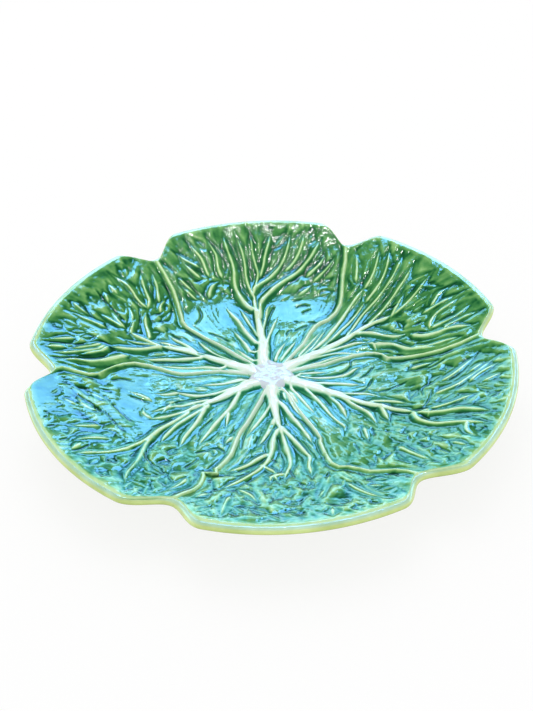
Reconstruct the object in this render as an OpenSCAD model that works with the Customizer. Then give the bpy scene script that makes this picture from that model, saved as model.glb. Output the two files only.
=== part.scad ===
// Leaf shaped plate: a pressed and glazed earthenware plate made as six overlapping cabbage leaves.
// The origin is the middle of the face that the foot ring stands on. +Y points to the back leaf.

/* [Plate] */
// Diameter across the rounded ends of the leaves
rim_d = 266; // [220:1:340]
// Thickness of the pressed wall, measured upright
wall = 5; // [3.5:0.1:7]
// Depth from the rim down to the floor of the well
dish_depth = 25.3; // [16:0.1:32]
// Diameter of the flat floor of the well
well_d = 90; // [70:1:110]
// How far the rounded lip of the rim bulges outwards
lip_l = 2.2; // [1:0.1:3]

/* [Notches] */
// Depth of the notch between two leaves
notch_depth = 13.2; // [8:0.2:18]
// Width of a notch where it opens at the rim
notch_w = 44.4; // [30:0.2:60]

/* [Foot ring] */
// Outer diameter of the foot ring
foot_d = 150; // [110:1:180]
// Width of the foot ring
foot_w = 8; // [5:0.5:12]
// Height of the foot ring under the floor of the well
foot_h = 4.5; // [2.5:0.1:8]
// Radius of the rounding along both lower edges of the foot ring
foot_round_r = 1.6; // [0.5:0.1:2]

/* [Leaves] */
// Thickness of a leaf between its veins
leaf_t = 0.8; // [0.6:0.1:1.5]
// Height of a side vein above its leaf
vein_h = 1.4; // [0.5:0.1:2]
// Width of a side vein at its foot
vein_w = 4; // [2:0.1:6]
// Height of a midrib above its leaf at the heart
rib_h = 2; // [0.8:0.1:3]
// Width of a midrib where it leaves the heart
rib_w = 13; // [8:0.5:18]
// Height of the rolled edge of a leaf where it lies on its neighbour
roll_h = 2; // [0.8:0.1:3]
// Width of the rolled edge
roll_w = 5; // [3:0.1:7]
// Bare margin between a leaf and the edge of the rim
margin_w = 3.2; // [3.1:0.1:5]

/* [Heart] */
// Diameter of the boss where the midribs meet
heart_d = 25; // [18:1:34]
// Height of the boss above the floor of the well
heart_h = 3.6; // [2.6:0.1:5]

/* [Hidden] */

LEAF_COUNT = 6;
leaf_turn = 360 / LEAF_COUNT;
rim_r = rim_d / 2;
well_r = well_d / 2;
lip_r = rim_r - lip_l;
heart_r = heart_d / 2;
foot_out_r = foot_d / 2;
foot_in_r = foot_out_r - foot_w;
cut_over = 1;        // overrun of a cut past the face it opens
slip_t = 0.05;       // slip that bonds a leaf to the body
crease_w = 0.3;      // crease between two leaves, and round the heart

// The foot stands on zero, and the floor of the well is one thickness above the foot's height
floor_z = foot_h + wall;

// Direction of the first notch; the others follow every sixth of a turn
first_notch_angle = 6;
notch_half_angle = asin(notch_w / 2 / rim_r);

// The seams, midribs and side veins are drawn in parts of the rim's radius, 133 of them to the
// radius, so that they grow with the rim
part_share = 1 / 133;
part_l = rim_r * part_share;

// Each seam from the heart outwards, as [radius, direction]. Seam k lies clockwise of leaf k
seam_shares = [
    [[12, 25], [24, 22], [32, 20], [39, 21], [51, 21.3], [58, 19.5], [65, 14], [76, 7.5], [86, 5.5],
        [106, 5], [120, 6]],
    [[12, 58], [29, 58], [36, 57.5], [42, 59], [54, 60], [62, 56], [69, 54.7], [81, 57], [96, 61.3],
        [120, 66]],
    [[12, 129], [20, 130], [27, 132], [44, 133.5], [53, 135], [66, 137], [76, 134], [93, 128.5],
        [120, 126]],
    [[12, 162], [20, 164], [29, 166], [44, 172.5], [51, 174], [61, 172.5], [77, 173], [86, 178],
        [94, 184], [106, 184.5], [120, 186]],
    [[12, 253], [27, 251], [40, 250], [53, 249.5], [69, 251], [82, 250], [90, 247.5], [101, 249.5],
        [120, 246.5]],
    [[12, 303], [20, 302], [29, 298.5], [44, 298], [56, 296], [68, 293], [82, 291.5], [91, 296],
        [102, 301], [112, 305], [120, 306]],
];

// Direction that each leaf is drawn in. The places on it are [to the right, outwards]
leaf_angles = [36, 96, 156, 216, 276, 336];
rib_shares = [
    [[-2, 12], [-1.5, 30], [-1, 50], [-0.5, 68], [3, 79], [5.5, 88], [5.5, 95], [3, 109], [0, 124]],
    [[-2, 15], [-1, 32], [-1, 48], [-1.5, 70], [-1.5, 77], [2, 86], [1.6, 103], [1.2, 125]],
    [[2, 12], [3.5, 36], [4, 44], [3, 56], [0, 67], [-2, 76], [-1.8, 88], [-0.5, 112], [-1, 124]],
    [[3, 12], [3.5, 32], [4.5, 46], [3, 54], [-2, 73], [-7, 83], [-11, 96], [-12, 104], [-8, 127]],
    [[1, 12], [1, 34], [0, 46], [-1, 58], [-1.3, 72], [2, 81], [4, 91], [5, 127]],
    [[-2, 12], [-1, 34], [1, 52], [1.5, 64], [5, 82], [5.5, 95], [2, 109], [5, 127]],
];
// Side veins of each leaf: those on its left from the midrib outwards, then those on its right
vein_shares = [
    [[[[-1, 74], [-2.5, 86], [-6, 98], [-10, 110], [-15, 122]],
        [[-3, 58], [-7.5, 70], [-10.5, 83], [-14.5, 99], [-20, 112], [-26, 123]],
        [[-3, 38], [-7, 52], [-10, 66], [-14.5, 80], [-18, 94], [-24, 106], [-36, 120]],
        [[-4, 33], [-10, 50], [-16, 66], [-21.5, 80], [-24, 91], [-33, 107], [-41, 116]],
        [[-4.5, 26], [-9, 39], [-15, 51], [-17, 56]]],
     [[[5, 86], [9, 98], [10.5, 112]],
        [[0, 62], [8, 70], [19, 75], [24, 84], [26, 99], [28, 121]],
        [[0, 61], [9, 70], [21, 75], [31, 83], [38, 91], [43, 99], [51, 108]],
        [[0, 30], [2.5, 46], [6.5, 59], [14, 64], [27, 71], [36, 77], [43, 84], [54, 98]],
        [[0.5, 24], [3, 37], [8, 47], [14, 54]]]],
    [[[[-1.5, 74], [-4, 84], [-4.3, 97], [-5.5, 111], [-8, 124]],
        [[-2, 60], [-6, 66], [-10.5, 76], [-12, 86], [-12, 98], [-14.5, 111], [-16, 123]],
        [[-3.5, 40], [-7, 53], [-12.5, 68], [-19.5, 89], [-21.5, 106], [-27, 122]],
        [[-4.5, 33], [-9, 43], [-16, 60], [-20, 70], [-27, 90], [-30, 100], [-35, 110], [-41, 118]],
        [[-5, 20], [-9, 26], [-13.5, 39], [-18, 50]]],
     [[[3, 84], [4, 88], [7.5, 97], [11, 109], [15.5, 123]],
        [[1, 80], [9, 86], [18, 95], [23.5, 106], [27, 119]],
        [[0, 56], [2, 68], [9, 76], [18, 84], [24, 93], [31, 103], [37, 120]],
        [[0, 55], [2.5, 67], [10, 75], [24, 85], [33, 93], [41, 103], [46, 110]],
        [[0.5, 42], [4, 57], [7, 66], [12, 68], [26, 71], [36, 79], [45, 86], [54, 97]]]],
    [[[[-2, 72], [-6, 79], [-9, 91], [-8, 100], [-10, 112], [-12, 124]],
        [[-1, 69], [-11, 77], [-18, 87], [-21, 95], [-28, 108], [-40, 120]],
        [[1, 45], [-6, 56], [-12, 65], [-16, 74], [-26, 94], [-36, 101], [-48, 113]],
        [[0.5, 44], [-7, 55], [-13, 63], [-20, 79], [-33, 87], [-40, 95], [-50, 107]],
        [[2, 24], [-3, 30], [-9, 46], [-15, 60], [-17, 66]]],
     [[[0, 91], [3.5, 101], [11, 109], [17, 117]],
        [[-1, 86], [4, 89], [13, 95], [17, 101], [20, 108], [24, 117]],
        [[0, 77], [4, 79], [10, 84], [21, 89], [24, 98], [30, 107], [31, 121]],
        [[4.5, 48], [8, 60], [10, 69], [14, 76], [27, 91], [38, 101], [46, 107]],
        [[4, 18], [6, 28], [11, 46], [17, 55], [23, 77], [40, 92], [50, 103]]]],
    [[[[1.5, 42], [-1, 59], [-5, 69], [-13, 80], [-18, 93], [-27, 104], [-41, 116]],
        [[1, 40], [-1, 46], [-5, 52], [-11, 62], [-21, 76]],
        [[0, 22], [-6, 31], [-12, 45], [-18, 56], [-24, 66]],
        [[-6, 30], [-10.5, 36], [-19.5, 44], [-30, 53]],
        [[-47, 86], [-50, 92], [-52, 104]]],
     [[[5, 46], [5.5, 58], [8, 72], [10, 77]],
        [[7, 44], [12.5, 56], [13.5, 67], [14, 73]],
        [[6, 39], [11, 51], [14, 55], [22, 64], [31, 70], [36, 73]],
        [[5, 22], [8.5, 34], [15.5, 44], [26, 51]],
        [[7, 13], [13, 25], [19, 34], [22, 38]]]],
    [[[[-0.5, 42], [-5, 50], [-10, 63], [-12, 68], [-10, 75], [-10, 90]],
        [[-1, 20], [-5.5, 29], [-10.5, 41], [-14.5, 54], [-15, 59]],
        [[-7, 12], [-9, 25], [-15, 37]],
        [[-25, 98], [-30, 108], [-38, 116]],
        [[-36, 84], [-44, 96], [-50, 104]]],
     [[[4, 84], [8, 88], [12, 93]],
        [[2, 44], [5.5, 53], [8.5, 65], [14.5, 75], [25, 86], [38, 95]],
        [[7, 60], [16, 67], [25, 74], [33, 77]],
        [[2, 35], [6, 43], [11, 51], [15, 55]],
        [[3, 23], [10, 34], [18.5, 46]]]],
    [[[[-2, 60], [-3.5, 72], [-2, 82]],
        [[-1.5, 38], [-5.5, 48], [-7.5, 54], [-7, 66]],
        [[-3, 20], [-7, 30], [-12.5, 45], [-15, 52]],
        [[-7, 13], [-9, 22], [-16, 35], [-27, 41], [-31, 47]],
        [[-31, 71], [-35, 79], [-38, 84]]],
     [[[6, 84], [12, 89], [15.5, 98], [13.5, 110], [14.5, 127]],
        [[2, 65], [9, 70], [17, 75]],
        [[1, 44], [4.5, 52], [12, 64], [19, 69]],
        [[0, 34], [5, 42], [13, 49], [18, 52]],
        [[2, 22], [8, 32], [17, 43], [22, 52], [30, 54]]]],
];
VEIN_COUNT = 5;      // side veins on each half of a leaf
// Leaf that lies on top at each seam
seam_top_leaves = [5, 1, 2, 3, 3, 4];

// Least gap between two veins that run together, and the way on which a vein ends
least_gap_share = 0.02;
vein_end_share = 0.06;

// Width and height of the midrib at its tip, and height of a side vein there
rib_tip_w_share = 0.16;
rib_tip_h_share = 0.25;
vein_tip_h_share = 0.6;
rib_taper_sharpness = 0.8;
// Most of a leaf's half width that the midrib and the rolled edge may take
rib_most_share = 0.60;
roll_most_share = 0.20;
// Where a rolled edge has its full height, how high its outer side is, and how far an edge that
// lies underneath is tucked down
roll_full_share = 0.3;
roll_side_share = 0.6;
tuck_share = 0.4;
// Where the relief starts to sink towards the rim, and how much of it is left there
sink_start_share = 0.9;
sink_left_share = 0.4;
heart_side_share = 0.66;

leaf_rows = 19;
round_steps = 180;
dish_steps = 10;
lip_steps = 6;
notch_steps = 12;
crown_steps = 4;
corner_steps = 3;

function mix(a, b, t) = a + (b - a) * t;
function ease(t) = let (u = min(max(t, 0), 1)) u * u * (3 - 2 * u);
function polar(r, a, z) = [r * cos(a), r * sin(a), z];
function backwards(list) = [for (i = [len(list) - 1:-1:0]) list[i]];

// Upper face of the dish: a flat floor, then one sweep that steepens and flares out again
function dish_rise(r) =
    let (t = max((r - well_r) / (rim_r - well_r), 0)) dish_depth * t * t * (2 - t);
dish_radii = [for (i = [0:dish_steps]) mix(well_r, lip_r, i / dish_steps)];
dish_line = concat([[0, floor_z]], [for (r = dish_radii) [r, floor_z + dish_rise(r)]]);
function dish_z(r) = lookup(r, dish_line);

// Depth of the outline at a direction that lies this far from the middle of a notch
function notch_drop(off) =
    notch_depth / 2 * (1 + cos(180 * min(abs(off) / notch_half_angle, 1)));
function from_notch(a) =
    let (b = (a - first_notch_angle) / leaf_turn) (b - round(b)) * leaf_turn;
function outline_r(a) = rim_r - notch_drop(from_notch(a));

function notch_angle(k) = first_notch_angle + leaf_turn * k;
function seam_angle(k, r) =
    lookup(r / part_l, seam_shares[k % LEAF_COUNT]) + 360 * floor(k / LEAF_COUNT);
// Radius and direction of a place that is drawn on leaf k
function drawn_place(k, p) = [norm(p) * part_l, leaf_angles[k] - atan2(p[0], p[1])];
rib_lines = [for (k = [0:LEAF_COUNT - 1]) [for (p = rib_shares[k]) drawn_place(k, p)]];
function rib_angle(k, r) = lookup(r, rib_lines[k]);
// Turn from the midrib of leaf k to one of its seams; side is 1 anticlockwise and -1 clockwise
function half_turn(k, side, r) = seam_angle(side > 0 ? k + 1 : k, r) - rib_angle(k, r);
function half_w(k, side, r) = r * abs(half_turn(k, side, r)) * PI / 180;
function on_top(k, side) = seam_top_leaves[(side > 0 ? k + 1 : k) % LEAF_COUNT] == k;

leaf_in_r = heart_r + crease_w;
function leaf_out_r(k, side, s) =
    outline_r(rib_angle(k, rim_r) + s * half_turn(k, side, rim_r)) - margin_w;

// Each side vein as its radii, and at each the share of the half leaf that it lies at
function vein_line(k, side, course) = [for (p = course) let (d = drawn_place(k, p))
    [d[0], (d[1] - rib_angle(k, d[0])) / half_turn(k, side, d[0])]];
vein_lines = [for (k = [0:LEAF_COUNT - 1]) [for (h = [0, 1])
    [for (course = vein_shares[k][h]) vein_line(k, 1 - 2 * h, course)]]];
function vein_of(k, side, n) = vein_lines[k][(1 - side) / 2][n - 1];

// Veins are numbered from the midrib outwards: 0 is the midrib, the last number is the rolled edge.
// A side vein runs in the midrib until it leaves it
function rib_half_w(v) = rib_w / 2 * mix(1, rib_tip_w_share, pow(v, rib_taper_sharpness));
function rib_part(k, side, r, v) = min(rib_half_w(v) / half_w(k, side, r), rib_most_share);
function roll_part(k, side, r) = min(roll_w / half_w(k, side, r), roll_most_share);
function vein_place(k, side, n, r, v) =
    n == 0 ? 0
    : let (most = 1 - roll_part(k, side, r) - least_gap_share * (VEIN_COUNT + 1 - n))
        n > VEIN_COUNT ? most
        : min(most, max(lookup(r, vein_of(k, side, n)), rib_part(k, side, r, v) * n / VEIN_COUNT,
            vein_place(k, side, n - 1, r, v) + least_gap_share));

// A column of points runs from the heart to the rim. It is named [side, vein, share], where share
// is 0 at the foot of the vein before, less than 1 at the foot of this vein and 1 on its crest, and
// past 1 the way across the rolled edge. The column before the rolled edge takes in the corner
// where the notch begins
foot_share = 0.5;
roll_shares = [1.5, 2];
half_columns = concat(
    [for (n = [1:VEIN_COUNT + 1]) for (t = [0, foot_share, 1]) [n, t]],
    [for (t = roll_shares) [VEIN_COUNT + 1, t]]);
columns = concat(
    [for (c = backwards(half_columns)) [-1, c[0], c[1]]],
    [[1, 0, 1]],
    [for (c = half_columns) [1, c[0], c[1]]]);
last_column = len(columns) - 1;
// The underside is smooth, so it has one column for every few of the upper side
base_step = 4;
base_columns = concat([for (j = [0:base_step:last_column - 1]) j], [last_column]);

// Place of a column across its half leaf, 0 on the midrib and 1 on the seam
function column_place(k, c, r, v) =
    let (side = c[0], n = c[1], t = c[2], w = half_w(k, side, r))
    n == 0 ? 0
    : t > 1 ? mix(1 - roll_part(k, side, r), 1 - crease_w / 2 / w, t - 1)
    : let (before = vein_place(k, side, n - 1, r, v), here = vein_place(k, side, n, r, v),
        flank = min(vein_w / 2 / w, (here - before) / 3),
        corner = 1 - notch_half_angle / abs(half_turn(k, side, rim_r)))
        t == 1 ? here : t == 0 ? before + flank
        : n <= VEIN_COUNT ? here - flank : max(before + 2 * flank, min(corner, here - flank));

// Heights that the midrib, the veins and the rolled or tucked edge add to the leaf
function rib_rise(k, c, s, r, v) =
    let (off = s * half_w(k, c[0], r) / rib_half_w(v))
    rib_h * mix(1, rib_tip_h_share, v) * max(1 - off * off, 0);
function vein_high(k, side, n, r, v) =
    let (most = vein_h * mix(1, vein_tip_h_share, v))
    n == 0 ? most
    : n > VEIN_COUNT ? 0
    : let (line = vein_of(k, side, n), end = vein_end_share * rim_r,
        before = (line[0][0] - r) / end, past = (r - line[len(line) - 1][0]) / end)
        most * (1 - ease(max(before, past)));
function vein_rise(k, c, r, v) =
    let (side = c[0], n = c[1], t = c[2])
    n == 0 || t == 1 ? vein_high(k, side, n, r, v)
    : t > 1 ? 0
    : let (gap = vein_place(k, side, n, r, v) - vein_place(k, side, n - 1, r, v))
        mix(vein_high(k, side, n - 1, r, v), vein_high(k, side, n, r, v), t)
        * (1 - ease(gap * half_w(k, side, r) / vein_w));
function roll_rise(k, c, v) =
    c[2] <= 1 ? 0
    : on_top(k, c[0]) ? roll_h * ease(v / roll_full_share) * (c[2] == 2 ? roll_side_share : 1)
    : -tuck_share * leaf_t * (c[2] - 1);
function sink(v) = mix(1, sink_left_share, ease((v - sink_start_share) / (1 - sink_start_share)));
function relief(k, c, s, r, v) =
    sink(v) * (leaf_t + rib_rise(k, c, s, r, v) + vein_rise(k, c, r, v) + roll_rise(k, c, v));

function row_r(k, c, v) =
    mix(leaf_in_r, leaf_out_r(k, c[0], column_place(k, c, rim_r, 1)), v);
function leaf_point(k, c, v, top) =
    let (r = row_r(k, c, v), s = column_place(k, c, r, v),
        a = rib_angle(k, r) + s * half_turn(k, c[0], r))
    polar(r, a, dish_z(r) + slip_t + (top ? relief(k, c, s, r, v) : 0));

// Point numbers along the rows and the sides of a leaf's upper side and underside
top_width = len(columns);
base_width = len(base_columns);
base_start = (leaf_rows + 1) * top_width;
function top_row(i) = [for (j = [0:top_width - 1]) i * top_width + j];
function base_row(i) = [for (j = [0:base_width - 1]) base_start + i * base_width + j];
function top_side(j) = [for (i = [0:leaf_rows]) i * top_width + j];
function base_side(j) = [for (i = [0:leaf_rows]) base_start + i * base_width + j];

// Triangles between two rows of as many points
function strip(a, b) = [for (i = [0:len(a) - 2]) each
    [[a[i], a[i + 1], b[i + 1]], [a[i], b[i + 1], b[i]]]];
// Triangles between a row of many points and a row of few
function zip(fine, coarse) =
    let (m = len(fine) - 1, n = len(coarse) - 1)
    concat(
        [for (i = [0:m - 1]) [fine[i + 1], fine[i], coarse[floor((i + 0.5) * n / m + 0.5)]]],
        [for (j = [0:n - 1]) [coarse[j], coarse[j + 1], fine[ceil((j + 0.5) * m / n - 0.5)]]]);

// Body: a dished plate with a rounded lip and six notches
module plate_body() {
    lip_mid_z = dish_z(lip_r) - wall / 2;
    lip = [for (i = [1:lip_steps - 1]) let (a = 90 - 180 * i / lip_steps)
        [lip_r + lip_l * cos(a), lip_mid_z + wall / 2 * sin(a)]];
    underside = [for (p = backwards(dish_line)) [p[0], p[1] - wall]];
    color("#d9e29a")
    difference() {
        rotate_extrude($fn = round_steps) polygon(concat(dish_line, lip, underside));
        for (k = [0:LEAF_COUNT - 1]) rotate(notch_angle(k)) notch();
    }
}

// Upright cutter for one rounded notch, whose deepest point lies on the X axis
module notch() {
    far = rim_r + cut_over;
    curve = [for (i = [1 - notch_steps:notch_steps - 1])
        let (a = notch_half_angle * i / notch_steps, r = rim_r - notch_drop(a))
        [r * cos(a), r * sin(a)]];
    corner = [far * cos(notch_half_angle), far * sin(notch_half_angle)];
    translate([0, 0, -cut_over])
    linear_extrude(floor_z + dish_depth + 2 * cut_over)
    polygon(concat([[corner[0], -corner[1]]], curve, [corner, [far / cos(notch_half_angle), 0]]));
}

// Foot ring, luted to the underside of the body
module foot_ring() {
    seat_radii = concat([foot_out_r],
        [for (r = backwards(dish_radii)) if (r > foot_in_r && r < foot_out_r) r], [foot_in_r]);
    seat = [for (r = seat_radii) [r, dish_z(r) - wall]];
    turn = 90 / corner_steps;
    outer = [for (i = [0:corner_steps]) let (a = -90 + turn * i)
        [foot_out_r - foot_round_r * (1 - cos(a)), foot_round_r * (1 + sin(a))]];
    inner = [for (i = [0:corner_steps]) let (a = 180 + turn * i)
        [foot_in_r + foot_round_r * (1 + cos(a)), foot_round_r * (1 + sin(a))]];
    color("#ece4d2")
    rotate_extrude($fn = round_steps) polygon(concat(outer, seat, inner));
}

// Leaf k: its midrib, its side veins, and its rolled or tucked edges
module leaf(k) {
    rows = [for (i = [0:leaf_rows]) i / leaf_rows];
    points = concat(
        [for (v = rows) for (c = columns) leaf_point(k, c, v, true)],
        [for (v = rows) for (j = base_columns) leaf_point(k, columns[j], v, false)]);
    faces = concat(
        [for (i = [1:leaf_rows]) each strip(top_row(i - 1), top_row(i))],
        [for (i = [1:leaf_rows]) each strip(base_row(i), base_row(i - 1))],
        strip(top_side(0), base_side(0)),
        strip(base_side(base_width - 1), top_side(last_column)),
        zip(top_row(0), base_row(0)),
        zip(backwards(top_row(leaf_rows)), backwards(base_row(leaf_rows))));
    color("#3f8f55") polyhedron(points, faces);
}

// Heart: the low boss that the six midribs grow from
module heart() {
    base_z = floor_z + slip_t;
    crown = [for (i = [0:crown_steps]) let (t = i / crown_steps)
        [heart_r * t, floor_z + heart_h * mix(1, heart_side_share, t * t)]];
    color("#e9efe0")
    rotate_extrude($fn = round_steps)
    polygon(concat([[0, base_z]], crown, [[heart_r, base_z]]));
}

plate_body();
foot_ring();
leaf(0);  // leaf_back_right
leaf(1);  // leaf_back
leaf(2);  // leaf_back_left
leaf(3);  // leaf_front_left
leaf(4);  // leaf_front
leaf(5);  // leaf_front_right
heart();
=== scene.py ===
"""Leaf shaped plate: six overlapping cabbage leaves in relief on a glazed earthenware dish.

The dish with its lip and the heart are circles extruded in edit mode, each ring of which is
then set in its place. The leaves are carved: each is a fine net of points over the dish, raised
along veins whose courses were read from the photograph in millimetres, in the leaf's own
coordinates (across to the right, out towards the rim). All sizes are in millimetres until a
mesh is made.
"""

import math

import bmesh
import bpy
import numpy as np
from mathutils import Matrix, Vector


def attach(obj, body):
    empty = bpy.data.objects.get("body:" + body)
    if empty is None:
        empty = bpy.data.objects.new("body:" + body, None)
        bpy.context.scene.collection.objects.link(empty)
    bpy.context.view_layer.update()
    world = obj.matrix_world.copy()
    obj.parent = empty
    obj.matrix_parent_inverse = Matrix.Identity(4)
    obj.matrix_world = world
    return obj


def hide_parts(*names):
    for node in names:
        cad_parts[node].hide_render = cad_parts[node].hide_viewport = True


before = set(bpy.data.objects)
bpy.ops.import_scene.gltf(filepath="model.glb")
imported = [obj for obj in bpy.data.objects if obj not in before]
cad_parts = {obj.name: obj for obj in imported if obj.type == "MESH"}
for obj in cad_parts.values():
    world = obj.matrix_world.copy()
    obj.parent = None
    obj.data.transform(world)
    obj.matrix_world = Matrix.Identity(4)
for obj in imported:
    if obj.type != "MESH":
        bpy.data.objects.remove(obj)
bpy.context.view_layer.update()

MM = 0.001
LEAF_COUNT = 6
TURN = 360.0 / LEAF_COUNT
RIM_R = 133.0           # lobes of the rim
WELL_R = 45.0           # level middle of the dish
FLOOR_Z = 9.5           # dish floor above the table
DISH_DEPTH = 24.2       # from the floor to the rim, without the curl
CURL_R, CURL_RISE = 112.0, 1.1      # where the lobes start to curl up, and how far they do
WALL = 5.0              # thickness of the clay
LIP_WALL = 4.3          # the wall is a little thinner at the lip
LIP_L = 2.2             # how far the rounded lip bulges
NOTCH_DEPTH = 13.2
NOTCH_HALF = 9.6        # degrees
FIRST_NOTCH = 6.0       # degrees


def smooth(x):
    """0 to 1 with level ends."""
    x = np.clip(x, 0.0, 1.0)
    return x * x * (3.0 - 2.0 * x)


def dish_z(r):
    """Height of the dish's upper face. The lobes curl up a little towards their ends."""
    t = np.clip((r - WELL_R) / (RIM_R - WELL_R), 0.0, None)
    curl = CURL_RISE * np.clip((r - CURL_R) / (RIM_R - CURL_R), 0.0, None) ** 2
    return FLOOR_Z + DISH_DEPTH * t * t * (2.0 - t) + curl


def outline_r(angle):
    """Radius of the notched rim, angle in degrees."""
    off = (angle - FIRST_NOTCH) / TURN
    off = np.abs(off - np.round(off)) * TURN
    return RIM_R - NOTCH_DEPTH / 2 * (1 + np.cos(np.pi * np.minimum(off / NOTCH_HALF, 1.0)))


def inset_r(angle, inset):
    """Radius of the outline moved inwards by a true distance."""
    step = 0.25
    slope = (outline_r(angle + step) - outline_r(angle - step)) / (2 * math.radians(step))
    r = outline_r(angle)
    return r - inset * np.sqrt(1 + (slope / r) ** 2)


# The seams between the leaves: angle in degrees, radius as a share of the rim's, from the
# rim inwards. Seam k lies clockwise of leaf k. The second table names the leaf that lies on top.
SEAMS = [
    "6.2,.9 5,.8 4.8,.72 5.5,.65 7.5,.57 10.4,.51 14.2,.492 17,.47 19.5,.436 21.3,.38 "
    "21.5,.33 21.1,.29 20.1,.243 21.9,.18 24,.128 25,.08",
    "65.5,.9 63,.8 61.3,.72 59.5,.67 57,.61 55.4,.57 54.7,.52 55.7,.47 58.5,.437 60,.407 "
    "60,.35 59,.315 57.5,.27 58,.22 58,.14 58,.08",
    "126.2,.9 127,.8 128.5,.7 131,.63 134,.57 136,.54 137,.5 136,.45 135,.4 133.5,.33 "
    "132.5,.27 132,.2 130,.15 129,.08",
    "186,.9 184,.85 184.5,.8 185,.75 184,.71 181,.68 178,.65 175.5,.62 173,.58 172,.52 "
    "172.5,.46 173.5,.42 174,.38 172.5,.33 170,.28 166,.22 164,.15 162,.08",
    "246.3,.9 247.5,.84 249,.8 249.5,.76 249,.72 248.3,.69 247.4,.672 251.2,.65 250,.62 "
    "250.5,.6 251,.55 251.3,.5 250.5,.45 249.5,.4 249,.35 250,.3 250.5,.25 251,.2 252,.15 "
    "253,.08",
    "306,.9 305,.84 303.5,.8 301,.77 298.5,.74 297,.7 295,.66 292.5,.64 291.5,.6 292,.55 "
    "293,.5 294.5,.45 296.5,.42 297.5,.38 298,.33 298,.28 298.5,.22 302,.15 303,.08",
]
SEAM_TOP_LEAVES = [5, 1, 2, 3, 3, 4]

# Kinds of vein: half width at the root and at the tip, height at the root and at the tip, and
# how thin the glaze runs over it
KINDS = {
    "trunk": (5.0, 1.2, 2.7, 1.5, 1.0),
    "bough": (1.4, 0.65, 2.0, 1.1, 1.0),
    "rib": (1.05, 0.55, 1.5, 0.9, 0.85),
    "rim": (0.85, 0.5, 1.15, 0.75, 1.0),
    "twig": (0.55, 0.4, 0.6, 0.4, 0.4),
}
FADE_L = {"trunk": 9, "bough": 12, "rib": 12, "rim": 13, "twig": 8}     # mm to die away at the tip
BRANCH_REACH = {"bough": 9.0, "rib": 9.0, "rim": 4.0, "twig": 2.5}      # mm to the vein it leaves
SKIRT = 2.8             # how much wider a vein's soft flank is than its crest
CREST_SHARE = 0.42      # share of a vein's height that its crest has, the flank has the rest
TRUNK_CREST_SHARE = 0.85
CREST_POWER = 2.0       # how square the crest is, 2 is round
TRUNK_CREST_POWER = 3.4
MEET_POWER = 3.0        # heights of veins that meet add up as this power, so they flow together
SOFTNESS = 4.0          # how sharply the higher of two forms wins, per mm
CREASE_W, CREASE_DEPTH = 0.8, 0.5

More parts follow.
